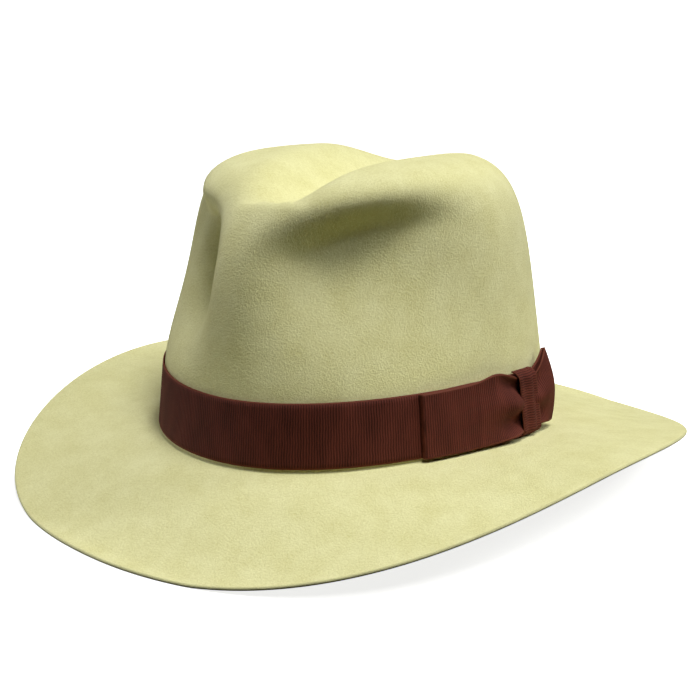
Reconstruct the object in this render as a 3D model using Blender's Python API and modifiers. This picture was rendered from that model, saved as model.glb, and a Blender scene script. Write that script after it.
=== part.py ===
"""Wide-brim felt hat: creased crown and snapped brim in one felt, ribbon band and flat side bow.

The front faces -Y and the wearer's left, with the bow, is +X. The floor is z = 0 and the origin lies
under the middle of the hat. Lengths are metres. Angles are degrees from the front towards the
wearer's left. Heights and plan sizes of the felt are those of its inner, under side.
"""
import math

import bmesh
import bpy
from mathutils import Vector

# Felt and ribbon cloth
FELT = 0.0016
RIBBON = 0.0008
CLEARANCE = 0.0003

# The band stands a little further off, over the felt's unevenness
BAND_CLEARANCE = 0.0005

# Oval where the crown's wall meets the brim, and the oval that the wall leans in to at the top
HEAD_LENGTH = 0.205
HEAD_WIDTH = 0.173
HEAD_SQUARENESS = 2.1
CROWN_LENGTH = 0.170
CROWN_WIDTH = 0.148
CROWN_SHIFT = -0.0055

# Height of the crown's top ridge over the floor, and how far it falls at the back and front
TOP_HEIGHT = 0.154
BACK_FALL = 0.002
FRONT_FALL = 0.020
RIDGE_TIGHTNESS = 7.4

# Height of the brim where it leaves the crown: middle value, rise at the front, rise at the sides
BREAK_HEIGHT = 0.0174
BREAK_FRONT_RISE = 0.0053
BREAK_SIDE_RISE = 0.0081
BREAK_RADIUS = 0.003

# Brim: outer oval, lift of its sides, and the flat where its front and back press on the floor
BRIM_LENGTH = 0.343
BRIM_WIDTH = 0.311
BRIM_SQUARENESS = 2.18
SIDE_LIFT = 0.032
LIFT_SHARPNESS = 1.5
REST_DEPTH = 0.0012
REST_WIDTH = 0.006
BRIM_CURL = 0.7
BRIM_TURN = 4.0
BRIM_SHIFT = -0.001

# Crease along the crown's top, a little turned
CREASE_DEPTH = 0.020
CREASE_LENGTH = 0.146
CREASE_WIDTH = 0.072
CREASE_SPREAD = 0.3
CREASE_SHIFT = -0.001
CREASE_TURN = 13.0

# Hand-pressed dents of the crown's wall: angle, and reach ahead, behind, above and below its middle.
# Heights are shares of the wall's height, depth is a share of HEAD_WIDTH, fold sharpens the near side.
DENTS = (
    {"name": "right pinch", "angle": -20, "ahead": 22, "behind": 20,
     "height": 0.77, "above": 0.25, "below": 0.50, "depth": 0.110, "fold": 1.3},
    {"name": "right side", "angle": -33, "ahead": 28, "behind": 37,
     "height": 0.845, "above": 0.13, "below": 0.60, "depth": 0.080, "fold": 1.3},
    {"name": "left side", "angle": 48, "ahead": 37, "behind": 56,
     "height": 0.79, "above": 0.19, "below": 0.60, "depth": 0.125, "fold": 1.25},
)

# Ribbon band round the foot of the crown
RIBBON_HEIGHT = 0.0295

# Flat bow on the wearer's left: its knot's place, its reach to the front and back, its knot
BOW_ANGLE = 104.0
BOW_FRONT = 0.066
BOW_BACK = 0.026
BOW_THICKNESS = 0.0020
KNOT_WIDTH = 0.017

# Sections of the bow from front to back. Along is a share of BOW_FRONT or, past the knot, of BOW_BACK.
# Height and middle are shares of RIBBON_HEIGHT, stand_off is a share of BOW_BACK.
BOW_SECTIONS = (
    {"along": -1.00, "height": 1.00, "middle": 0.50, "stand_off": 0.00},
    {"along": -0.45, "height": 1.04, "middle": 0.53, "stand_off": 0.02},
    {"along": -0.16, "height": 0.80, "middle": 0.51, "stand_off": 0.02},
    {"along": 0.38, "height": 0.80, "middle": 0.51, "stand_off": 0.02},
    {"along": 1.00, "height": 1.24, "middle": 0.76, "stand_off": 0.13},
)

# Facets: steps round the hat, rings of the crown, rings of the brim
STEPS_ROUND = 60
CROWN_RINGS = 24
BRIM_RINGS = 8
BREAK_RINGS = 3
PROFILE_SAMPLES = 800

# Share of the knot strap's rows that lie flat over the bow, the others turn down to the band
KNOT_FLAT = 0.6


def bump(share, fold=2.0):
    """Smooth hump: 1 at 0, falling to 0 at 1 and beyond. A fold below 2 falls in more steeply."""
    return math.cos(min(abs(share), 1.0) * math.pi / 2) ** fold


def oval_point(angle, length, width, squareness):
    """Plan point on an oval, with the outward direction there."""
    across, ahead = math.sin(angle), math.cos(angle)
    size = (abs(across) ** squareness + abs(ahead) ** squareness) ** (-1 / squareness)
    point = Vector((across * size * width / 2, -ahead * size * length / 2, 0.0))
    outward = Vector((across / width, -ahead / length, 0.0)).normalized()
    return point, outward


def break_height(angle):
    """Height of the brim's under side where it leaves the crown."""
    rise = BREAK_FRONT_RISE * math.cos(angle) + BREAK_SIDE_RISE * math.sin(angle) ** 2
    return BREAK_HEIGHT + rise


def edge_height(angle):
    """Height of the brim's edge, below the floor where the brim presses on it."""
    turned = angle - math.radians(BRIM_TURN)
    return SIDE_LIFT * abs(math.sin(turned)) ** (2 * LIFT_SHARPNESS) - REST_DEPTH


def ridge_height(ahead):
    """Height of the crown's top before its crease, for a share ahead of 1 at the front, -1 at the back."""
    return TOP_HEIGHT - BACK_FALL * ahead ** 2 - FRONT_FALL * max(ahead, 0.0) ** 3


def wall_foot(angle):
    return break_height(angle) + BREAK_RADIUS


def dent_depth(angle, height):
    """How far the dents press the wall in at an angle and a share of the wall's height."""
    depth = 0.0
    for dent in DENTS:
        off = (math.degrees(angle) - dent["angle"] + 180) % 360 - 180
        if off * dent["angle"] < 0:
            sideways = bump(off / dent["ahead"], dent["fold"])
        else:
            sideways = bump(off / dent["behind"])
        off = height - dent["height"]
        upright = bump(off / (dent["above"] if off > 0 else dent["below"]))
        depth += dent["depth"] * HEAD_WIDTH * sideways * upright
    return depth


def crease_depth(x, y):
    """How far the teardrop crease presses the crown's top down."""
    turn = math.radians(CREASE_TURN)
    across = x * math.cos(turn) + y * math.sin(turn)
    along = (y * math.cos(turn) - x * math.sin(turn) - CREASE_SHIFT) / (CREASE_LENGTH / 2)
    half_width = CREASE_WIDTH / 2 * (1 + CREASE_SPREAD * max(min(along, 1.0), -1.0))
    return CREASE_DEPTH * bump(across / half_width) * math.sqrt(max(1 - along ** 2, 0.0))


def crown_point(angle, reach, height):
    """Point of the crown: reach 1 is its wall and 0 its middle, height 0 is its foot and 1 its top."""
    length = HEAD_LENGTH + (CROWN_LENGTH - HEAD_LENGTH) * height
    width = HEAD_WIDTH + (CROWN_WIDTH - HEAD_WIDTH) * height
    point, outward = oval_point(angle, length, width, HEAD_SQUARENESS)
    point *= reach
    top = ridge_height(-point.y / (length / 2))
    point.y += CROWN_SHIFT * height
    point -= outward * dent_depth(angle, height) * min(reach / 0.75, 1.0)
    foot = wall_foot(angle)
    point.z = foot + (top - foot) * height - crease_depth(point.x, point.y) * height ** 6
    return point


def brim_point(angle, reach):
    """Point of the brim: reach 0 is the foot of the crown and 1 the brim's edge."""
    inner, outward = oval_point(angle, HEAD_LENGTH, HEAD_WIDTH, HEAD_SQUARENESS)
    outer, outward = oval_point(angle, BRIM_LENGTH, BRIM_WIDTH, BRIM_SQUARENESS)
    outer.y += BRIM_SHIFT
    point = inner.lerp(outer, reach)
    ease = reach * reach * (3 - 2 * reach)
    fall = reach + BRIM_CURL * (ease - reach)
    point.z = break_height(angle) + (edge_height(angle) - break_height(angle)) * fall
    off = BREAK_RADIUS - reach * (outer - inner).length
    if off > 0:
        point.z += BREAK_RADIUS - math.sqrt(max(BREAK_RADIUS ** 2 - off ** 2, 0.0))
    point.z = max(point.z, 0.0)
    return point


def wall_outward(angle, height):
    """Level outward direction of the wall, with its share of the wall's own normal."""
    small = 0.01
    around = crown_point(angle + small, 1.0, height) - crown_point(angle - small, 1.0, height)
    upward = crown_point(angle, 1.0, height + small) - crown_point(angle, 1.0, max(height - small, 0.0))
    normal = around.cross(upward).normalized()
    level = Vector((normal.x, normal.y, 0.0))
    return level.normalized(), level.length


def wall_point(angle, height, stand_off):
    """Point at a height over the brim's top face, stood off from the crown's outer face."""
    z = break_height(angle) + FELT + height
    foot = wall_foot(angle)
    ahead = -oval_point(angle, 2.0, 2.0, HEAD_SQUARENESS)[0].y
    share = (z - foot) / (ridge_height(ahead) - foot)
    outward, level = wall_outward(angle, share)
    point = crown_point(angle, 1.0, share) + outward * (FELT + stand_off) / level
    point.z = z
    return point


def angle_along(start, length):
    """Angle reached after walking a length round the crown's foot from a start angle."""
    angle, left, step = start, abs(length), 0.0005
    while left > 0:
        ahead = math.copysign(0.001, length)
        here = oval_point(angle, HEAD_LENGTH, HEAD_WIDTH, HEAD_SQUARENESS)[0]
        there = oval_point(angle + ahead, HEAD_LENGTH, HEAD_WIDTH, HEAD_SQUARENESS)[0]
        walked = min(step, left)
        angle += ahead * walked / (there - here).length
        left -= walked
    return angle


def section_value(column, along):
    """Value of one column of BOW_SECTIONS between its rows, eased from row to row."""
    for before, after in zip(BOW_SECTIONS, BOW_SECTIONS[1:]):
        if along <= after["along"]:
            break
    share = (along - before["along"]) / (after["along"] - before["along"])
    share = max(min(share, 1.0), 0.0)
    share = share * share * (3 - 2 * share)
    return before[column] + (after[column] - before[column]) * share


def clear_scene():
    for old in list(bpy.data.objects):
        bpy.data.objects.remove(old, do_unlink=True)


def new_material(name, colour, roughness):
    material = bpy.data.materials.new(name)
    material.use_nodes = True
    shader = material.node_tree.nodes["Principled BSDF"]
    shader.inputs["Base Color"].default_value = (*colour, 1.0)
    shader.inputs["Roughness"].default_value = roughness
    shader.inputs["Metallic"].default_value = 0.0
    return material


def turned_mesh(name, profile):
    """Mesh turned round Z from a profile of radius and height pairs, top to bottom."""
    mesh = bpy.data.meshes.new(name)
    points = [(radius, 0.0, height) for radius, height in profile]
    mesh.from_pydata(points, [(i, i + 1) for i in range(len(points) - 1)], [])
    blank = bpy.data.objects.new(name, mesh)
    bpy.context.scene.collection.objects.link(blank)
    screw = blank.modifiers.new("turn", "SCREW")
    screw.steps = STEPS_ROUND
    screw.render_steps = STEPS_ROUND
    screw.use_merge_vertices = True
    screw.merge_threshold = 0.0001
    turned = bpy.data.meshes.new_from_object(blank.evaluated_get(bpy.context.evaluated_depsgraph_get()))
    bpy.data.objects.remove(blank, do_unlink=True)
    return turned


def sheet_object(name, mesh, place, thickness, material, collection):
    """Object whose mesh is moved point by point to its place and thickened outwards."""
    for vertex in mesh.vertices:
        vertex.co = place(vertex.co)
    mesh.materials.clear()
    mesh.materials.append(material)
    mesh.shade_smooth()
    piece = bpy.data.objects.new(name, mesh)
    collection.objects.link(piece)
    solid = piece.modifiers.new("thickness", "SOLIDIFY")
    solid.thickness = thickness
    solid.offset = 1.0
    solid.use_even_offset = True
    return piece


def crown_profile():
    """Even steps down the crown from its middle to its foot, as pairs of reach and height."""
    samples = []
    for i in range(PROFILE_SAMPLES + 1):
        turn = math.pi / 2 * (1 - i / PROFILE_SAMPLES)
        reach = max(math.cos(turn), 0.0) ** (2 / RIDGE_TIGHTNESS)
        height = math.sin(turn) ** (2 / RIDGE_TIGHTNESS)
        samples.append((reach, height))
    samples[0] = (0.0, 1.0)
    samples[-1] = (1.0, 0.0)
    tall, wide = TOP_HEIGHT - BREAK_HEIGHT, CROWN_LENGTH / 2
    lengths = [0.0]
    for (reach, height), (next_reach, next_height) in zip(samples, samples[1:]):
        lengths.append(lengths[-1] + math.hypot((next_reach - reach) * wide, (next_height - height) * tall))
    profile = []
    nearest = 0
    for ring in range(CROWN_RINGS + 1):
        goal = lengths[-1] * ring / CROWN_RINGS
        while lengths[nearest] < goal and nearest < PROFILE_SAMPLES:
            nearest += 1
        profile.append(samples[nearest])
    return profile


def brim_profile():
    """Rings of the brim from the crown's foot to its edge, as pairs of 1 + reach and 0."""
    wide = (BRIM_WIDTH - HEAD_WIDTH) / 2
    profile = []
    for ring in range(1, BREAK_RINGS + 1):
        turn = math.pi / 2 * ring / BREAK_RINGS
        profile.append((1 + BREAK_RADIUS * (1 - math.cos(turn)) / wide, 0.0))
    start = BREAK_RADIUS / wide
    end = 1 - REST_WIDTH / wide
    for ring in range(1, BRIM_RINGS):
        profile.append((1 + start + (end - start) * ring / (BRIM_RINGS - 1), 0.0))
    profile.append((2.0, 0.0))
    return profile


def felt_place(blank):
    """Place on the felt of a point of the plain turned hat."""
    angle = math.atan2(blank.x, -blank.y)
    radius = math.hypot(blank.x, blank.y)
    if blank.z > 0 or radius < 1:
        return crown_point(angle, radius, blank.z)
    return brim_point(angle, radius - 1)


def build_felt_body(collection):
    material = new_material("felt", (0.60, 0.60, 0.31), 0.95)
    mesh = turned_mesh("felt_body", crown_profile() + brim_profile())
    sheet_object("felt_body", mesh, felt_place, FELT, material, collection)


def ribbon_seat():
    """Height of the ribbon's lower edge over the brim's top face."""
    return max(BREAK_RADIUS - FELT, 0.0) + CLEARANCE


def band_place(blank):
    """Place on the band of a point of a plain turned ring, one unit high."""
    angle = math.atan2(blank.x, -blank.y)
    return wall_point(angle, ribbon_seat() + RIBBON_HEIGHT * blank.z, BAND_CLEARANCE)


def build_band(collection, material):
    mesh = turned_mesh("ribbon_band", [(1.0, row / 4) for row in range(4, -1, -1)])
    sheet_object("ribbon_band", mesh, band_place, RIBBON, material, collection)


def bow_point(along, height, stand_off):
    """Point over the band, a length along from the knot."""
    angle = angle_along(math.radians(BOW_ANGLE), along)
    return wall_point(angle, ribbon_seat() + height, BAND_CLEARANCE + RIBBON + CLEARANCE + stand_off)


def grid_mesh(name, columns, rows):
    """Flat grid one unit square, with as many columns and rows."""
    mesh = bpy.data.meshes.new(name)
    grid = bmesh.new()
    bmesh.ops.create_grid(grid, x_segments=columns, y_segments=rows, size=0.5)
    grid.to_mesh(mesh)
    grid.free()
    return mesh


def bow_section(length):
    """Height, middle and stand-off of the bow, a length along from its knot."""
    along = length / (BOW_FRONT if length < 0 else BOW_BACK)
    height = section_value("height", along) * RIBBON_HEIGHT
    middle = section_value("middle", along) * RIBBON_HEIGHT
    return height, middle, section_value("stand_off", along) * BOW_BACK


def bow_place(blank):
    """Place on the bow of a point of a flat grid: x runs along it and y up it."""
    length = (blank.x + 0.5) * (BOW_FRONT + BOW_BACK) - BOW_FRONT
    tall, middle, stand_off = bow_section(length)
    return bow_point(length, middle + blank.y * tall, stand_off)


def build_bow(collection, material):
    sheet_object("bow_loops", grid_mesh("bow_loops", 20, 6), bow_place, BOW_THICKNESS, material, collection)


def knot_place(blank):
    """Place on the knot's strap of a point of a flat grid: x runs along the bow, y up over it."""
    length = blank.x * KNOT_WIDTH
    tall, middle, stand_off = bow_section(length)
    lift = stand_off + BOW_THICKNESS + CLEARANCE
    half = tall / 2 + CLEARANCE
    share = abs(2 * blank.y)
    turn = max(share - KNOT_FLAT, 0.0) / (1 - KNOT_FLAT) * math.pi / 2
    height = half * min(share / KNOT_FLAT, 1.0) + lift * math.sin(turn)
    return bow_point(length, middle + math.copysign(height, blank.y), lift * math.cos(turn))


def build_knot(collection, material):
    sheet_object("bow_knot", grid_mesh("bow_knot", 6, 14), knot_place, RIBBON, material, collection)


def main():
    clear_scene()
    hat = bpy.data.collections.new("wide_brim_hat")
    bpy.context.scene.collection.children.link(hat)
    build_felt_body(hat)
    ribbon = new_material("ribbon", (0.085, 0.028, 0.024), 0.65)
    build_band(hat, ribbon)
    build_bow(hat, ribbon)
    build_knot(hat, ribbon)


main()
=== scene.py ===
"""Wide-brim felt hat: brushed felt with a creased crown, grosgrain band, gathered side bow."""
import math

import bmesh
import bpy
from bpy.props import FloatProperty, FloatVectorProperty, IntProperty, PointerProperty
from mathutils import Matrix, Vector


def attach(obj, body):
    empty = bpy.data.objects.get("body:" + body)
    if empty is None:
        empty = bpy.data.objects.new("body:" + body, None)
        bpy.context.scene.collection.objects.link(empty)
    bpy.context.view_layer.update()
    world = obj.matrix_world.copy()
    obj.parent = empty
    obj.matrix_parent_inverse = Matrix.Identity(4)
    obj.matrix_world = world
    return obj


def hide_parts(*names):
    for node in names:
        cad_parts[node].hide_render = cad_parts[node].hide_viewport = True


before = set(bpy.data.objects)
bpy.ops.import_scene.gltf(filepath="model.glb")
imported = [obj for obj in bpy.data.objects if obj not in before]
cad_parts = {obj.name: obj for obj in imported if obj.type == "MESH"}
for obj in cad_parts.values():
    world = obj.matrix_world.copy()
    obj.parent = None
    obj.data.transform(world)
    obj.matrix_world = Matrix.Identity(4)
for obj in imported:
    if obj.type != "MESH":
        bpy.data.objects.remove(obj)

bl_info = {
    "name": "Wide-brim felt hat",
    "version": (1, 0, 0),
    "blender": (4, 5, 0),
    "location": "3D Viewport > Sidebar > Hat",
    "description": "Builds a felt hat with a pinched crown, a ribbon band and a side bow",
    "category": "Add Mesh",
}

# The front faces -Y and the wearer's left, with the bow, is +X. The floor is z = 0. Lengths are
# metres and the angles named here are degrees from the front towards the wearer's left. Sizes of the
# felt are those of its inner, under side, the same as in the part's solids.
FELT = 0.0016
RIBBON = 0.0008
CLEARANCE = 0.0003
BAND_CLEARANCE = 0.0005

# Oval where the crown's wall meets the brim, and the oval that the wall leans in to at the top
HEAD_LENGTH = 0.205
HEAD_WIDTH = 0.173
HEAD_SQUARENESS = 2.1
CROWN_LENGTH = 0.170
CROWN_WIDTH = 0.148
CROWN_SHIFT = -0.0055

# Height of the crown's top ridge over the floor, and how far it falls at the back and front
TOP_HEIGHT = 0.154
BACK_FALL = 0.002
FRONT_FALL = 0.020
RIDGE_TIGHTNESS = 7.4

# Height of the brim where it leaves the crown: middle value, rise at the front, rise at the sides
BREAK_HEIGHT = 0.0174
BREAK_FRONT_RISE = 0.0053
BREAK_SIDE_RISE = 0.0081
BREAK_RADIUS = 0.003

# Brim: outer oval, lift of its sides, and the flat where its front and back press on the floor
BRIM_LENGTH = 0.343
BRIM_WIDTH = 0.311
BRIM_SQUARENESS = 2.18
SIDE_LIFT = 0.032
LIFT_SHARPNESS = 1.5
REST_DEPTH = 0.0012
REST_WIDTH = 0.006
BRIM_CURL = 0.7
BRIM_TURN = 4.0
BRIM_SHIFT = -0.001

# Crease along the crown's top, a little turned
CREASE_DEPTH = 0.020
CREASE_LENGTH = 0.146
CREASE_WIDTH = 0.072
CREASE_SPREAD = 0.3
CREASE_SHIFT = -0.001
CREASE_TURN = 13.0

# Hand-pressed dents of the crown's wall: angle, and reach ahead, behind, above and below its middle.
# Heights are shares of the wall's height, depth is a share of HEAD_WIDTH, fold sharpens the near side.
DENTS = (
    {"name": "right pinch", "angle": -20, "ahead": 22, "behind": 20,
     "height": 0.77, "above": 0.25, "below": 0.50, "depth": 0.110, "fold": 1.3},
    {"name": "right side", "angle": -33, "ahead": 28, "behind": 37,
     "height": 0.845, "above": 0.13, "below": 0.60, "depth": 0.080, "fold": 1.3},
    {"name": "left side", "angle": 48, "ahead": 37, "behind": 56,
     "height": 0.79, "above": 0.19, "below": 0.60, "depth": 0.125, "fold": 1.25},
)

# Rings where the brim bends out of the crown, rings of the strip at the brim's edge, faces across
# the cut edge's rounding, and steps down the crown's profile that its rings are picked from
BREAK_RINGS = 5
STRIP_RINGS = 3
ROUNDING_FACES = 3
PROFILE_STEPS = 2000

# Ribbon band round the foot of the crown
RIBBON_HEIGHT = 0.0295

# Flat bow on the wearer's left: its knot's place, and its reach to the front and back
BOW_ANGLE = 104.0
BOW_FRONT = 0.066
BOW_BACK = 0.026

# Pleats of the gathered bow: waves over the ribbon's height, and their middle's place up it
PLEAT_WAVES = 1.65
PLEAT_MIDDLE = 0.03

# Knot's strap: width, stand-off, middle and half height as shares of RIBBON_HEIGHT, the share of its
# length that lies flat over the bow, and how far its middle and its pleats stand up
KNOT_WIDTH = 0.017
KNOT_LIFT = 0.0034
KNOT_MIDDLE = 0.51
KNOT_REACH = 0.40
KNOT_FLAT = 0.6
KNOT_SWELL = 0.0006
KNOT_PLEAT = 0.0005

# Folded length of the bow, from under the knot round the front loop and the rear wing and back.
# Along is a share of BOW_FRONT or BOW_BACK, height and middle are shares of RIBBON_HEIGHT.
# Stand_off and pleat, the depth of the gathers, are millimetres. Swell is the share by which the
# ribbon's edges lie closer than its middle.
BOW_PATH = (
    {"along": 0.00, "height": 0.84, "middle": 0.51, "stand_off": 0.3, "swell": 0.0, "pleat": 0.0},
    {"along": -0.50, "height": 1.00, "middle": 0.52, "stand_off": 0.2, "swell": 0.0, "pleat": 0.0},
    {"along": -0.98, "height": 1.00, "middle": 0.50, "stand_off": 0.2, "swell": 0.0, "pleat": 0.0},
    {"along": -1.00, "height": 1.00, "middle": 0.50, "stand_off": 0.7, "swell": 0.0, "pleat": 0.0},
    {"along": -0.98, "height": 1.00, "middle": 0.50, "stand_off": 1.3, "swell": 0.0, "pleat": 0.0},
    {"along": -0.60, "height": 1.03, "middle": 0.52, "stand_off": 2.4, "swell": 0.1, "pleat": 0.1},
    {"along": -0.38, "height": 1.10, "middle": 0.57, "stand_off": 4.0, "swell": 0.2, "pleat": 0.9},
    {"along": -0.20, "height": 0.98, "middle": 0.54, "stand_off": 3.8, "swell": 0.2, "pleat": 2.9},
    {"along": 0.00, "height": 0.78, "middle": 0.51, "stand_off": 1.4, "swell": 0.2, "pleat": 0.6},
    {"along": 0.36, "height": 0.84, "middle": 0.52, "stand_off": 3.2, "swell": 0.3, "pleat": 1.7},
    {"along": 0.66, "height": 1.02, "middle": 0.59, "stand_off": 5.4, "swell": 0.4, "pleat": 0.9},
    {"along": 0.97, "height": 1.22, "middle": 0.68, "stand_off": 6.2, "swell": 0.5, "pleat": 0.2},
    {"along": 1.00, "height": 1.22, "middle": 0.68, "stand_off": 5.4, "swell": 0.5, "pleat": 0.0},
    {"along": 0.95, "height": 1.21, "middle": 0.68, "stand_off": 4.6, "swell": 0.5, "pleat": 0.0},
    {"along": 0.55, "height": 0.98, "middle": 0.58, "stand_off": 2.0, "swell": 0.3, "pleat": 0.0},
    {"along": 0.10, "height": 0.84, "middle": 0.52, "stand_off": 0.6, "swell": 0.0, "pleat": 0.0},
)

# Light table: its flat reach, the radius of its curve up to the wall, and the wall's top
TABLE_FLAT = 2.6
TABLE_CURVE = 0.8
TABLE_TOP = 3.4

# Soft lights, aimed at the crown: degrees round from the front and up, distance and width
LIGHT_TARGET = Vector((0, 0, 0.08))
LIGHTS = (
    {"name": "key", "turn": 100, "rise": 75, "distance": 2.4, "width": 0.8},
    {"name": "side", "turn": 75, "rise": 55, "distance": 2.4, "width": 0.6},
    {"name": "back", "turn": 140, "rise": 35, "distance": 2.4, "width": 0.6},
    {"name": "fill", "turn": -60, "rise": 10, "distance": 2.4, "width": 0.9},
)

# Camera: degrees round from the front and up, distance, aim, lens and sensor in millimetres
CAMERA_TURN = 44.5
CAMERA_RISE = 19.85
CAMERA_DISTANCE = 0.6795
CAMERA_TARGET = Vector((-0.0177, 0.0091, 0.0522))
CAMERA_LENS = 68.06
CAMERA_SENSOR = 36


def linear(colour):
    """Linear red, green and blue of an sRGB hex colour."""
    parts = [(colour >> shift & 255) / 255 for shift in (16, 8, 0)]
    return [part / 12.92 if part <= 0.04045 else ((part + 0.055) / 1.055) ** 2.4 for part in parts]


class FeltSettings(bpy.types.PropertyGroup):
    nap_colour: FloatVectorProperty(
        name="Nap", description="Colour of the brushed fibre tips", subtype="COLOR", size=3,
        min=0, max=1, default=linear(0xF3F0B6))
    # Hollows: a darker colour painted between the tufts of the nap, as their shade
    hollow_shade_colour: FloatVectorProperty(
        name="Hollows", description="Colour between the tufts of the nap", subtype="COLOR", size=3,
        min=0, max=1, default=linear(0xE1DC98))
    edge_colour: FloatVectorProperty(
        name="Cut edge", description="Colour of the raw edge of the brim", subtype="COLOR", size=3,
        min=0, max=1, default=linear(0xE6E3A6))
    tuft: FloatProperty(
        name="Tuft", description="Width of a tuft of the nap", subtype="DISTANCE", unit="LENGTH",
        min=0.0002, max=0.005, precision=5, default=0.0010)
    edge_round: FloatProperty(
        name="Edge rounding", description="Rounding of the brim's cut edge", subtype="DISTANCE",
        unit="LENGTH", min=0.0001, max=0.0008, precision=5, default=0.00075)
    steps_round: IntProperty(
        name="Steps round", description="Faces round the hat", min=60, max=360, default=240)
    crown_rings: IntProperty(
        name="Crown rings", description="Faces down the crown", min=20, max=160, default=96)
    brim_rings: IntProperty(
        name="Brim rings", description="Faces across the brim", min=6, max=60, default=26)


class RibbonSettings(bpy.types.PropertyGroup):
    # Ribs: a lighter colour painted on the rib tops, as the light they catch
    lit_rib_colour: FloatVectorProperty(
        name="Ribs", description="Colour of the ribbon's ribs", subtype="COLOR", size=3,
        min=0, max=1, default=linear(0x783D32))
    # Between ribs: a far darker colour painted in the grooves, as their shade
    groove_shade_colour: FloatVectorProperty(
        name="Between ribs", description="Colour between the ribs", subtype="COLOR", size=3,
        min=0, max=1, default=linear(0x27110D))
    selvage_colour: FloatVectorProperty(
        name="Selvage", description="Colour of the woven edges", subtype="COLOR", size=3,
        min=0, max=1, default=linear(0x6C3B2E))
    rib_spacing: FloatProperty(
        name="Rib spacing", description="Distance from rib to rib", subtype="DISTANCE", unit="LENGTH",
        min=0.0004, max=0.004, precision=5, default=0.0012)
    selvage: FloatProperty(
        name="Selvage width", description="Width of the woven edges", subtype="DISTANCE",
        unit="LENGTH", min=0.0003, max=0.003, precision=5, default=0.0010)
    thickness: FloatProperty(
        name="Thickness", description="Thickness of one layer of ribbon", subtype="DISTANCE",
        unit="LENGTH", min=0.0002, max=0.001, precision=5, default=0.0006)


class StudioSettings(bpy.types.PropertyGroup):
    floor_colour: FloatVectorProperty(
        name="Table", description="Colour of the light table", subtype="COLOR", size=3,
        min=0, max=1, default=linear(0xF7F7F5))
    key_power: FloatProperty(
        name="Key light", description="Power of the light over the hat", subtype="POWER", min=0,
        default=39.5)
    side_power: FloatProperty(
        name="Side light", description="Power of the light in front of the bow", subtype="POWER",
        min=0, default=10)
    back_power: FloatProperty(
        name="Back light", description="Power of the light behind the bow", subtype="POWER", min=0,
        default=19)
    fill_power: FloatProperty(
        name="Fill light", description="Power of the low light on the other side", subtype="POWER",
        min=0, default=21)
    table_glow: FloatProperty(
        name="Table glow", description="Light that comes up through the table", min=0, max=2,
        default=0.92)
    sky: FloatProperty(
        name="Sky", description="Brightness of the even light all round", min=0, max=2, default=0.01)


def bump(share, fold=2.0):
    """Smooth hump: 1 at 0, falling to 0 at 1 and beyond. A fold below 2 falls in more steeply."""
    return math.cos(min(abs(share), 1.0) * math.pi / 2) ** fold


def eased(share):
    """A share from 0 to 1, slow at both ends."""
    share = max(min(share, 1.0), 0.0)
    return share * share * (3 - 2 * share)


def oval_point(angle, length, width, squareness):
    """Plan point on an oval, with the outward direction there."""
    across, ahead = math.sin(angle), math.cos(angle)
    size = (abs(across) ** squareness + abs(ahead) ** squareness) ** (-1 / squareness)
    point = Vector((across * size * width / 2, -ahead * size * length / 2, 0.0))
    outward = Vector((across / width, -ahead / length, 0.0)).normalized()
    return point, outward


def break_height(angle):
    """Height of the brim's under side where it leaves the crown."""
    rise = BREAK_FRONT_RISE * math.cos(angle) + BREAK_SIDE_RISE * math.sin(angle) ** 2
    return BREAK_HEIGHT + rise


def edge_height(angle):
    """Height of the brim's edge, below the floor where the brim presses on it."""
    turned = angle - math.radians(BRIM_TURN)
    return SIDE_LIFT * abs(math.sin(turned)) ** (2 * LIFT_SHARPNESS) - REST_DEPTH


def ridge_height(ahead):
    """Height of the crown's top before its crease: ahead is 1 at the front and -1 at the back."""
    return TOP_HEIGHT - BACK_FALL * ahead ** 2 - FRONT_FALL * max(ahead, 0.0) ** 3


def dent_depth(angle, height):
    """How far the dents press the wall in at an angle and a share of the wall's height."""
    depth = 0.0
    for dent in DENTS:
        off = (math.degrees(angle) - dent["angle"] + 180) % 360 - 180
        if off * dent["angle"] < 0:
            sideways = bump(off / dent["ahead"], dent["fold"])
        else:
            sideways = bump(off / dent["behind"])
        off = height - dent["height"]
        upright = bump(off / (dent["above"] if off > 0 else dent["below"]))
        depth += dent["depth"] * HEAD_WIDTH * sideways * upright
    return depth


def crease_depth(x, y):
    """How far the teardrop crease presses the crown's top down."""
    turn = math.radians(CREASE_TURN)
    across = x * math.cos(turn) + y * math.sin(turn)
    along = (y * math.cos(turn) - x * math.sin(turn) - CREASE_SHIFT) / (CREASE_LENGTH / 2)
    half_width = CREASE_WIDTH / 2 * (1 + CREASE_SPREAD * max(min(along, 1.0), -1.0))
    return CREASE_DEPTH * bump(across / half_width) * math.sqrt(max(1 - along ** 2, 0.0))


def crown_point(angle, reach, height):
    """Point of the crown: reach 1 is its wall and 0 its middle, height 0 is its foot and 1 its top."""
    length = HEAD_LENGTH + (CROWN_LENGTH - HEAD_LENGTH) * height
    width = HEAD_WIDTH + (CROWN_WIDTH - HEAD_WIDTH) * height
    point, outward = oval_point(angle, length, width, HEAD_SQUARENESS)
    point *= reach
    top = ridge_height(-point.y / (length / 2))
    point.y += CROWN_SHIFT * height
    point -= outward * dent_depth(angle, height) * min(reach / 0.75, 1.0)
    foot = break_height(angle) + BREAK_RADIUS
    point.z = foot + (top - foot) * height - crease_depth(point.x, point.y) * height ** 6
    return point


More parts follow.
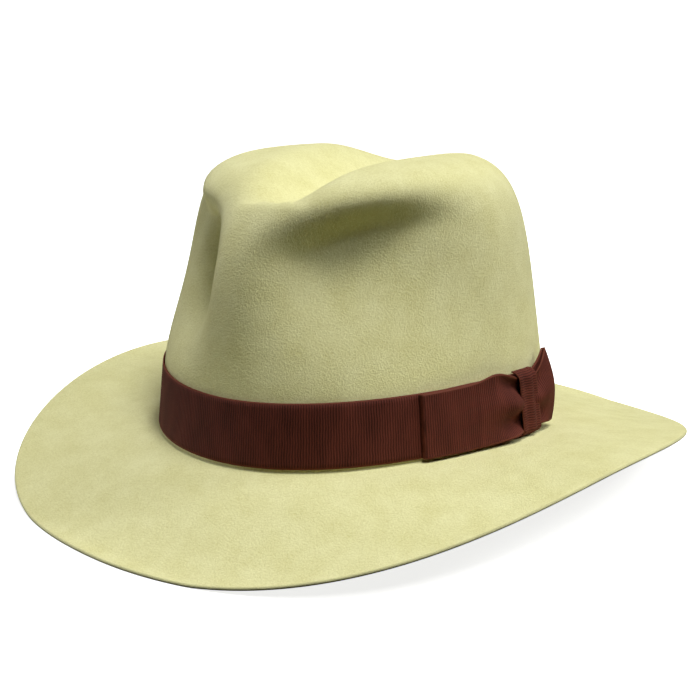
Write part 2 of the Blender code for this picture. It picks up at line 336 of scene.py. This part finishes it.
def brim_point(angle, reach):
    """Point of the brim: reach 0 is the foot of the crown and 1 the brim's edge."""
    inner = oval_point(angle, HEAD_LENGTH, HEAD_WIDTH, HEAD_SQUARENESS)[0]
    outer = oval_point(angle, BRIM_LENGTH, BRIM_WIDTH, BRIM_SQUARENESS)[0]
    outer.y += BRIM_SHIFT
    point = inner.lerp(outer, reach)
    fall = reach + BRIM_CURL * (eased(reach) - reach)
    point.z = break_height(angle) + (edge_height(angle) - break_height(angle)) * fall
    off = BREAK_RADIUS - reach * (outer - inner).length
    if off > 0:
        point.z += BREAK_RADIUS - math.sqrt(max(BREAK_RADIUS ** 2 - off ** 2, 0.0))
    point.z = max(point.z, 0.0)
    return point


def wall_outward(angle, height):
    """Level outward direction of the wall, with its share of the wall's own normal."""
    small = 0.01
    around = crown_point(angle + small, 1.0, height) - crown_point(angle - small, 1.0, height)
    upward = crown_point(angle, 1.0, height + small) - crown_point(angle, 1.0, max(height - small, 0.0))
    normal = around.cross(upward).normalized()
    level = Vector((normal.x, normal.y, 0.0))
    return level.normalized(), level.length


def wall_point(angle, height, stand_off):
    """Point at a height over the brim's top face, stood off from the crown's outer face."""
    z = break_height(angle) + FELT + height
    foot = break_height(angle) + BREAK_RADIUS
    ahead = -oval_point(angle, 2.0, 2.0, HEAD_SQUARENESS)[0].y
    share = (z - foot) / (ridge_height(ahead) - foot)
    outward, level = wall_outward(angle, share)
    point = crown_point(angle, 1.0, share) + outward * (FELT + stand_off) / level
    point.z = z
    return point


def angle_along(start, length):
    """Angle reached after walking a length round the crown's foot from a start angle."""
    angle, left = start, abs(length)
    while left > 0:
        ahead = math.copysign(0.001, length)
        here = oval_point(angle, HEAD_LENGTH, HEAD_WIDTH, HEAD_SQUARENESS)[0]
        there = oval_point(angle + ahead, HEAD_LENGTH, HEAD_WIDTH, HEAD_SQUARENESS)[0]
        walked = min(0.0005, left)
        angle += ahead * walked / (there - here).length
        left -= walked
    return angle


def ribbon_seat():
    """Height of the ribbon's lower edge over the brim's top face."""
    return max(BREAK_RADIUS - FELT, 0.0) + CLEARANCE


def over_band():
    """Stand-off from the crown of what lies on the band."""
    return BAND_CLEARANCE + RIBBON + CLEARANCE


def add_node(tree, kind, settings=None, links=None):
    """Add a node, give its sockets and settings their values and link its inputs to other outputs."""
    node = tree.nodes.new(kind)
    for name, value in (settings or {}).items():
        if isinstance(name, int) or name in node.inputs:
            node.inputs[name].default_value = value
        else:
            setattr(node, name, value)
    for name, output in (links or {}).items():
        tree.links.new(output, node.inputs[name])
    return node


def new_material(name):
    """Empty material with the shader that its surface nodes feed."""
    material = bpy.data.materials.new(name)
    material.use_nodes = True
    tree = material.node_tree
    tree.nodes.clear()
    shader = add_node(tree, "ShaderNodeBsdfPrincipled")
    add_node(tree, "ShaderNodeOutputMaterial", links={"Surface": shader.outputs["BSDF"]})
    return material, tree, shader


def brushed_fur_felt(name, pale, hollow_shade, tuft):
    """Rabbit fur felt, blocked and brushed: dry and matt, with a fine tangled nap whose hollows are
    painted darker as shade, and faint clouds.
    """
    material, tree, shader = new_material(name)
    place = add_node(tree, "ShaderNodeTexCoord").outputs["Object"]
    # Tufts of real nap are under 0.5 mm wide: they are drawn coarser so that they show
    nap = add_node(tree, "ShaderNodeTexNoise",
                   {"Scale": 1 / tuft, "Detail": 5.0, "Roughness": 0.75, "Distortion": 0.4},
                   {"Vector": place})
    # Clouds 14 mm wide, left by steaming and brushing
    clouds = add_node(tree, "ShaderNodeTexNoise",
                      {"Scale": 1 / 0.014, "Detail": 4.0, "Roughness": 0.6}, {"Vector": place})
    # The nap's share paints shade into the hollows between its tufts, where its bump is low; the
    # clouds' share is the felt's own uneven tone
    both = add_node(tree, "ShaderNodeMix", {"data_type": "FLOAT", 0: 0.35},
                    {2: nap.outputs[0], 3: clouds.outputs[0]})
    spread = add_node(tree, "ShaderNodeMapRange", {"From Min": 0.38, "From Max": 0.60},
                      {"Value": both.outputs[0]})
    colour = add_node(tree, "ShaderNodeMix", {"data_type": "RGBA", 6: (*hollow_shade, 1), 7: (*pale, 1)},
                      {0: spread.outputs[0]})
    height = add_node(tree, "ShaderNodeBump", {"Strength": 1.0, "Distance": tuft * 0.6},
                      {"Height": nap.outputs[0]})
    tree.links.new(colour.outputs[2], shader.inputs["Base Color"])
    tree.links.new(height.outputs[0], shader.inputs["Normal"])
    shader.inputs["Roughness"].default_value = 0.95
    shader.inputs["Specular IOR Level"].default_value = 0.15
    shader.inputs["Sheen Weight"].default_value = 0.15
    shader.inputs["Sheen Roughness"].default_value = 0.6
    return material


def grosgrain(settings):
    """Rayon and cotton grosgrain: a soft shine on close upright ribs, painted lighter on their tops and
    darker between them as light and shade, and firm corded edges.
    """
    material, tree, shader = new_material("rayon_grosgrain")
    place = add_node(tree, "ShaderNodeUVMap", {"uv_map": "ribbon"}).outputs[0]
    parts = add_node(tree, "ShaderNodeSeparateXYZ", links={0: place})
    # Threads wander a little, so the ribs aren't ruled lines
    wander = add_node(tree, "ShaderNodeTexNoise", {"Scale": 160.0, "Detail": 2.0}, {"Vector": place})
    moved = add_node(tree, "ShaderNodeMath",
                     {"operation": "MULTIPLY_ADD", 1: settings.rib_spacing * 0.8},
                     {0: wander.outputs[0], 2: parts.outputs[0]})
    # Real ribs are 0.9 mm apart: they are drawn a little coarser so that they show
    turns = add_node(tree, "ShaderNodeMath",
                     {"operation": "MULTIPLY", 1: 2 * math.pi / settings.rib_spacing},
                     {0: moved.outputs[0]})
    wave = add_node(tree, "ShaderNodeMath", {"operation": "SINE"}, {0: turns.outputs[0]})
    rib = add_node(tree, "ShaderNodeMapRange", {"From Min": -1.0, "From Max": 1.0},
                   {"Value": wave.outputs[0]})
    # Real fibres are far finer: they are drawn 0.45 mm wide so that they show
    fibre = add_node(tree, "ShaderNodeTexNoise", {"Scale": 2200.0, "Detail": 2.0}, {"Vector": place})
    # Slanting waves 7 mm wide and 20 mm long where the ribbon is drawn tight: painted light and shade
    # of its faint ripples there, in the colour only
    slant = add_node(tree, "ShaderNodeMapping",
                     {"Rotation": (0.0, 0.0, 0.9), "Scale": (140.0, 50.0, 1.0)}, {"Vector": place})
    ripple_light_and_shade = add_node(tree, "ShaderNodeTexNoise", {"Scale": 1.0, "Detail": 1.0},
                         {"Vector": slant.outputs[0]})
    shade = add_node(tree, "ShaderNodeMix", {"data_type": "FLOAT", 0: 0.5},
                     {2: rib.outputs[0], 3: fibre.outputs[0]})
    # Painted ripple light and shade, from a quarter darker to a quarter lighter
    drawn = add_node(tree, "ShaderNodeMath", {"operation": "MULTIPLY_ADD", 1: 0.5, 2: -0.25},
                     {0: ripple_light_and_shade.outputs[0]})
    shade_with_ripple_light = add_node(tree, "ShaderNodeMath", {"operation": "ADD", "use_clamp": True},
                      {0: shade.outputs[0], 1: drawn.outputs[0]})
    # Colour runs from the grooves' painted shade to the ribs' painted light, with the fibres' own
    # random tone and the ripples' painted light and shade mixed in
    colour = add_node(tree, "ShaderNodeMix",
                      {"data_type": "RGBA", 6: (*settings.groove_shade_colour, 1),
                       7: (*settings.lit_rib_colour, 1)}, {0: shade_with_ripple_light.outputs[0]})
    # Share of the way to the corded edge, from the distance off the ribbon's middle line
    off = add_node(tree, "ShaderNodeMath", {"operation": "ABSOLUTE"}, {0: parts.outputs[1]})
    cord = add_node(tree, "ShaderNodeMapRange",
                    {"interpolation_type": "SMOOTHSTEP",
                     "From Min": RIBBON_HEIGHT / 2 - settings.selvage,
                     "From Max": RIBBON_HEIGHT / 2 - settings.selvage * 0.6},
                    {"Value": off.outputs[0]})
    edged = add_node(tree, "ShaderNodeMix", {"data_type": "RGBA", 7: (*settings.selvage_colour, 1)},
                     {0: cord.outputs[0], 6: colour.outputs[2]})
    relief = add_node(tree, "ShaderNodeMath", {"operation": "MAXIMUM"},
                      {0: shade.outputs[0], 1: cord.outputs[0]})
    height = add_node(tree, "ShaderNodeBump", {"Strength": 1.0, "Distance": 0.0003},
                      {"Height": relief.outputs[0]})
    tree.links.new(edged.outputs[2], shader.inputs["Base Color"])
    tree.links.new(height.outputs[0], shader.inputs["Normal"])
    shader.inputs["Roughness"].default_value = 0.75
    shader.inputs["Specular IOR Level"].default_value = 0.08
    return material


def opal_acrylic(settings):
    """Opal acrylic lit from below, its face blasted matt: an even white with faint shadows."""
    material, tree, shader = new_material("opal_acrylic")
    place = add_node(tree, "ShaderNodeTexCoord").outputs["Object"]
    # The blasted grain is well under 1 mm: it is drawn 3 mm wide so that it shows
    grain = add_node(tree, "ShaderNodeTexNoise", {"Scale": 330.0, "Detail": 3.0}, {"Vector": place})
    tint = add_node(tree, "ShaderNodeMix",
                    {"data_type": "RGBA", 6: (*[part * 0.97 for part in settings.floor_colour], 1),
                     7: (*settings.floor_colour, 1)}, {0: grain.outputs[0]})
    tree.links.new(tint.outputs[2], shader.inputs["Base Color"])
    tree.links.new(tint.outputs[2], shader.inputs["Emission Color"])
    shader.inputs["Emission Strength"].default_value = settings.table_glow
    shader.inputs["Roughness"].default_value = 0.8
    return material


def add_piece(name, mesh, materials):
    """Put a finished mesh in the scene under its name, with smooth faces."""
    for material in materials:
        mesh.materials.append(material)
    mesh.shade_smooth()
    piece = bpy.data.objects.new(name, mesh)
    bpy.context.scene.collection.objects.link(piece)
    return piece


def applied(piece):
    """The piece with its modifiers turned into mesh."""
    mesh = bpy.data.meshes.new_from_object(piece.evaluated_get(bpy.context.evaluated_depsgraph_get()))
    piece.modifiers.clear()
    piece.data = mesh
    return piece


def turned_mesh(name, profile, steps):
    """Mesh turned round Z from a profile of radius and height pairs."""
    mesh = bpy.data.meshes.new(name)
    mesh.from_pydata([(radius, 0.0, height) for radius, height in profile],
                     [(i, i + 1) for i in range(len(profile) - 1)], [])
    blank = bpy.data.objects.new("blank", mesh)
    bpy.context.scene.collection.objects.link(blank)
    screw = blank.modifiers.new("turn", "SCREW")
    screw.steps = screw.render_steps = steps
    screw.use_merge_vertices = True
    screw.merge_threshold = 0.0001
    mesh = applied(blank).data
    mesh.materials.clear()
    bpy.data.objects.remove(blank, do_unlink=True)
    return mesh


def crown_profile(rings):
    """Even steps down the crown from its middle to its foot, as pairs of reach and height."""
    samples = []
    for step in range(PROFILE_STEPS + 1):
        # Close samples at both ends, where the profile's powers run fast
        part = step / PROFILE_STEPS
        share = part ** 3 / (part ** 3 + (1 - part) ** 3)
        turn = math.pi / 2 * (1 - share)
        samples.append((max(math.cos(turn), 0.0) ** (2 / RIDGE_TIGHTNESS),
                        math.sin(turn) ** (2 / RIDGE_TIGHTNESS)))
    samples[0], samples[-1] = (0.0, 1.0), (1.0, 0.0)
    tall, wide = TOP_HEIGHT - BREAK_HEIGHT, CROWN_LENGTH / 2
    lengths = [0.0]
    for (reach, height), (next_reach, next_height) in zip(samples, samples[1:]):
        walked = math.hypot((next_reach - reach) * wide, (next_height - height) * tall)
        lengths.append(lengths[-1] + walked)
    profile, nearest = [], 0
    for ring in range(rings + 1):
        while lengths[nearest] < lengths[-1] * ring / rings and nearest < PROFILE_STEPS:
            nearest += 1
        profile.append(samples[nearest])
    return profile


def brim_profile(rings):
    """Rings of the brim from the crown's foot to its edge, as pairs of 1 + reach and 0."""
    wide = (BRIM_WIDTH - HEAD_WIDTH) / 2
    start, end = BREAK_RADIUS / wide, 1 - REST_WIDTH / wide
    profile = []
    for ring in range(1, BREAK_RINGS + 1):
        turn = math.pi / 2 * ring / BREAK_RINGS
        profile.append((1 + BREAK_RADIUS * (1 - math.cos(turn)) / wide, 0.0))
    for ring in range(1, rings + 1):
        profile.append((1 + start + (end - start) * ring / rings, 0.0))
    for ring in range(1, STRIP_RINGS + 1):
        profile.append((1 + end + (1 - end) * ring / STRIP_RINGS, 0.0))
    return profile


class OBJECT_OT_hat_felt(bpy.types.Operator):
    """Crown and brim, one blocked and brushed felt"""
    bl_idname = "object.hat_felt"
    bl_label = "Felt Body"

    def execute(self, context):
        settings = context.scene.hat_felt
        profile = crown_profile(settings.crown_rings) + brim_profile(settings.brim_rings)
        mesh = turned_mesh("brushed_felt", profile, settings.steps_round)
        for vertex in mesh.vertices:
            angle = math.atan2(vertex.co.x, -vertex.co.y)
            reach = math.hypot(vertex.co.x, vertex.co.y)
            if vertex.co.z > 0 or reach < 1:
                vertex.co = crown_point(angle, reach, vertex.co.z)
            else:
                vertex.co = brim_point(angle, reach - 1)
        nap = brushed_fur_felt("brushed_fur_felt", settings.nap_colour, settings.hollow_shade_colour,
                               settings.tuft)
        # The cut edge shows the pressed core of the felt: closer and duller than the nap, its hollows
        # again painted a fifth darker as shade
        cut = brushed_fur_felt("cut_felt_edge", settings.edge_colour,
                               [part * 0.8 for part in settings.edge_colour], settings.tuft * 0.6)
        felt = add_piece("brushed_felt", mesh, [nap, cut])
        solid = felt.modifiers.new("thickness", "SOLIDIFY")
        solid.thickness = FELT
        solid.offset = 1.0
        solid.use_even_offset = True
        solid.material_offset_rim = 1
        applied(felt)
        # Round both corners of the cut edge, where the nap's faces meet it
        shell = bmesh.new()
        shell.from_mesh(felt.data)
        corners = [edge for edge in shell.edges
                   if len({face.material_index for face in edge.link_faces}) > 1]
        bmesh.ops.bevel(shell, geom=corners, offset=settings.edge_round, offset_type="OFFSET",
                        segments=ROUNDING_FACES, profile=0.5, affect="EDGES", material=1)
        shell.to_mesh(felt.data)
        shell.free()
        felt.data.shade_smooth()
        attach(felt, "root")
        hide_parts("felt_body")
        return {"FINISHED"}


def ribbon_strip(name, place, columns, rows):
    """Strip of ribbon from a function of shares along and up it, with its lengths in metres as UVs."""
    points = [[place(i / columns, j / rows - 0.5) for j in range(rows + 1)]
              for i in range(columns + 1)]
    walked = [0.0]
    for before, after in zip(points, points[1:]):
        walked.append(walked[-1] + (after[rows // 2] - before[rows // 2]).length)
    mesh = bpy.data.meshes.new(name)
    strip = bmesh.new()
    uv = strip.loops.layers.uv.new("ribbon")
    corners = [[strip.verts.new(point) for point in column] for column in points]
    for i in range(columns):
        for j in range(rows):
            spots = ((i, j), (i + 1, j), (i + 1, j + 1), (i, j + 1))
            face = strip.faces.new([corners[a][b] for a, b in spots])
            for loop, (a, b) in zip(face.loops, spots):
                loop[uv].uv = (walked[a], (b / rows - 0.5) * RIBBON_HEIGHT)
    strip.to_mesh(mesh)
    strip.free()
    piece = add_piece(name, mesh, [ribbon_material()])
    solid = piece.modifiers.new("thickness", "SOLIDIFY")
    solid.thickness = bpy.context.scene.hat_ribbon.thickness
    solid.offset = 1.0
    applied(piece)
    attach(piece, "root")
    return piece, walked[-1]


def ribbon_material():
    """The ribbon's material, made once for the band, bow and knot."""
    found = bpy.data.materials.get("rayon_grosgrain")
    return found or grosgrain(bpy.context.scene.hat_ribbon)


class OBJECT_OT_hat_band(bpy.types.Operator):
    """Grosgrain band round the foot of the crown, its ends sewn under the bow"""
    bl_idname = "object.hat_band"
    bl_label = "Ribbon Band"

    def execute(self, context):
        start = math.radians(BOW_ANGLE)

        def place(along, up):
            height = ribbon_seat() + (up + 0.5) * RIBBON_HEIGHT
            return wall_point(start + along * 2 * math.pi, height, BAND_CLEARANCE)

        band, length = ribbon_strip("grosgrain_band", place, columns=360, rows=12)
        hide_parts("ribbon_band")
        return {"FINISHED"}


def path_value(column, share):
    """Value of one column of BOW_PATH at a share of the way through it, smooth from row to row."""
    spot = share * (len(BOW_PATH) - 1)
    row = min(int(spot), len(BOW_PATH) - 2)
    part = spot - row
    before, here, there, after = [
        BOW_PATH[max(min(row + i, len(BOW_PATH) - 1), 0)][column] for i in (-1, 0, 1, 2)]
    return (here + part * (there - before) / 2
            + part ** 2 * (before - 2.5 * here + 2 * there - after / 2)
            + part ** 3 * (-before + 3 * here - 3 * there + after) / 2)


def bow_point(share, up):
    """Point of the bow's folded length: share is the way through its path, up is from its middle."""
    along = path_value("along", share)
    length = along * (BOW_FRONT if along < 0 else BOW_BACK)
    height = (path_value("middle", share) + up * path_value("height", share)) * RIBBON_HEIGHT
    pleat = path_value("pleat", share) * math.cos((up - PLEAT_MIDDLE) * 2 * PLEAT_WAVES * math.pi)
    swelling = 1 - path_value("swell", share) * (2 * up) ** 2
    stand_off = max((path_value("stand_off", share) * swelling + pleat) / 1000, 0.0)
    angle = angle_along(math.radians(BOW_ANGLE), length)
    return wall_point(angle, ribbon_seat() + height, over_band() + stand_off)


class OBJECT_OT_hat_bow(bpy.types.Operator):
    """Flat bow, one folded length of the ribbon gathered at its waist"""
    bl_idname = "object.hat_bow"
    bl_label = "Bow"

    def execute(self, context):
        bow, length = ribbon_strip("gathered_bow", bow_point, columns=150, rows=24)
        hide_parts("bow_loops")
        return {"FINISHED"}


class OBJECT_OT_hat_knot(bpy.types.Operator):
    """Narrow strap of ribbon drawn over the bow's waist"""
    bl_idname = "object.hat_knot"
    bl_label = "Bow Knot"

    def execute(self, context):
        start = math.radians(BOW_ANGLE)

        def place(along, across):
            side = 2 * along - 1
            turn = max(abs(side) - KNOT_FLAT, 0.0) / (1 - KNOT_FLAT) * math.pi / 2
            half = KNOT_REACH * RIBBON_HEIGHT + CLEARANCE
            height = half * min(abs(side) / KNOT_FLAT, 1.0) + KNOT_LIFT * math.sin(turn)
            swell = KNOT_SWELL * (1 - (2 * across) ** 2)
            swell += KNOT_PLEAT * math.cos(4 * math.pi * across + 0.5)
            angle = angle_along(start, -across * KNOT_WIDTH)
            middle = ribbon_seat() + KNOT_MIDDLE * RIBBON_HEIGHT
            return wall_point(angle, middle + math.copysign(height, side),
                              over_band() + (KNOT_LIFT + swell) * math.cos(turn))

        knot, length = ribbon_strip("ribbon_knot", place, columns=60, rows=12)
        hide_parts("bow_knot")
        return {"FINISHED"}


def from_angles(turn, rise, distance):
    """Place at a distance from the origin, by degrees round from the front and up."""
    turn, rise = math.radians(turn), math.radians(rise)
    across, ahead = math.sin(turn) * math.cos(rise), math.cos(turn) * math.cos(rise)
    return Vector((across, -ahead, math.sin(rise))) * distance


def aimed(item, place, target):
    """Put a light or the camera at a place, looking at a target."""
    bpy.context.scene.collection.objects.link(item)
    item.location = place
    item.rotation_mode = "QUATERNION"
    item.rotation_quaternion = (place - target).to_track_quat("Z", "Y")


class OBJECT_OT_hat_studio(bpy.types.Operator):
    """White light table, four soft lights and the camera"""
    bl_idname = "object.hat_studio"
    bl_label = "Studio"

    def execute(self, context):
        settings = context.scene.hat_studio
        # Flat table, a curve and a wall, turned round the hat
        profile = [(0.0, 0.0), (TABLE_FLAT, 0.0)]
        for step in range(1, 13):
            turn = math.pi / 2 * step / 12
            profile.append((TABLE_FLAT + TABLE_CURVE * math.sin(turn),
                            TABLE_CURVE - TABLE_CURVE * math.cos(turn)))
        profile.append((TABLE_FLAT + TABLE_CURVE, TABLE_TOP))
        mesh = turned_mesh("light_table", profile, 96)
        table = add_piece("light_table", mesh, [opal_acrylic(settings)])
        # The table shows and takes shadows but throws no light back, so that the dents stay dark
        table.visible_diffuse = False
        table.visible_glossy = False
        context.scene.view_settings.view_transform = "Standard"
        world = bpy.data.worlds.new("studio")
        context.scene.world = world
        world.use_nodes = True
        sky = world.node_tree.nodes["Background"]
        sky.inputs["Color"].default_value = (1, 1, 1, 1)
        sky.inputs["Strength"].default_value = settings.sky
        for light in LIGHTS:
            lamp = bpy.data.lights.new(light["name"], "AREA")
            lamp.size = light["width"]
            lamp.energy = getattr(settings, light["name"] + "_power")
            place = from_angles(light["turn"], light["rise"], light["distance"])
            aimed(bpy.data.objects.new(light["name"], lamp), place, LIGHT_TARGET)
        camera = bpy.data.objects.new("camera", bpy.data.cameras.new("camera"))
        camera.data.sensor_width = CAMERA_SENSOR
        camera.data.lens = CAMERA_LENS
        aimed(camera, from_angles(CAMERA_TURN, CAMERA_RISE, CAMERA_DISTANCE), CAMERA_TARGET)
        context.scene.camera = camera
        return {"FINISHED"}


class VIEW3D_PT_hat(bpy.types.Panel):
    """Builds the hat piece by piece"""
    bl_label = "Wide-Brim Hat"
    bl_idname = "VIEW3D_PT_hat"
    bl_space_type = "VIEW_3D"
    bl_region_type = "UI"
    bl_category = "Hat"

    def draw(self, context):
        for group in ("hat_felt", "hat_ribbon", "hat_studio"):
            settings = getattr(context.scene, group)
            box = self.layout.box()
            for name in settings.__annotations__:
                box.prop(settings, name)
        for step in STEPS:
            self.layout.operator(step.bl_idname)


STEPS = (
    OBJECT_OT_hat_felt,
    OBJECT_OT_hat_band,
    OBJECT_OT_hat_bow,
    OBJECT_OT_hat_knot,
    OBJECT_OT_hat_studio,
)
GROUPS = (
    ("hat_felt", FeltSettings),
    ("hat_ribbon", RibbonSettings),
    ("hat_studio", StudioSettings),
)


def register():
    for name, group in GROUPS:
        bpy.utils.register_class(group)
        setattr(bpy.types.Scene, name, PointerProperty(type=group))
    for step in STEPS:
        bpy.utils.register_class(step)
    bpy.utils.register_class(VIEW3D_PT_hat)


def unregister():
    bpy.utils.unregister_class(VIEW3D_PT_hat)
    for step in reversed(STEPS):
        bpy.utils.unregister_class(step)
    for name, group in reversed(GROUPS):
        delattr(bpy.types.Scene, name)
        bpy.utils.unregister_class(group)


def main():
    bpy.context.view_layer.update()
    register()
    bpy.ops.object.hat_felt()
    bpy.ops.object.hat_band()
    bpy.ops.object.hat_bow()
    bpy.ops.object.hat_knot()
    bpy.ops.object.hat_studio()


if __name__ == "__main__":
    main()
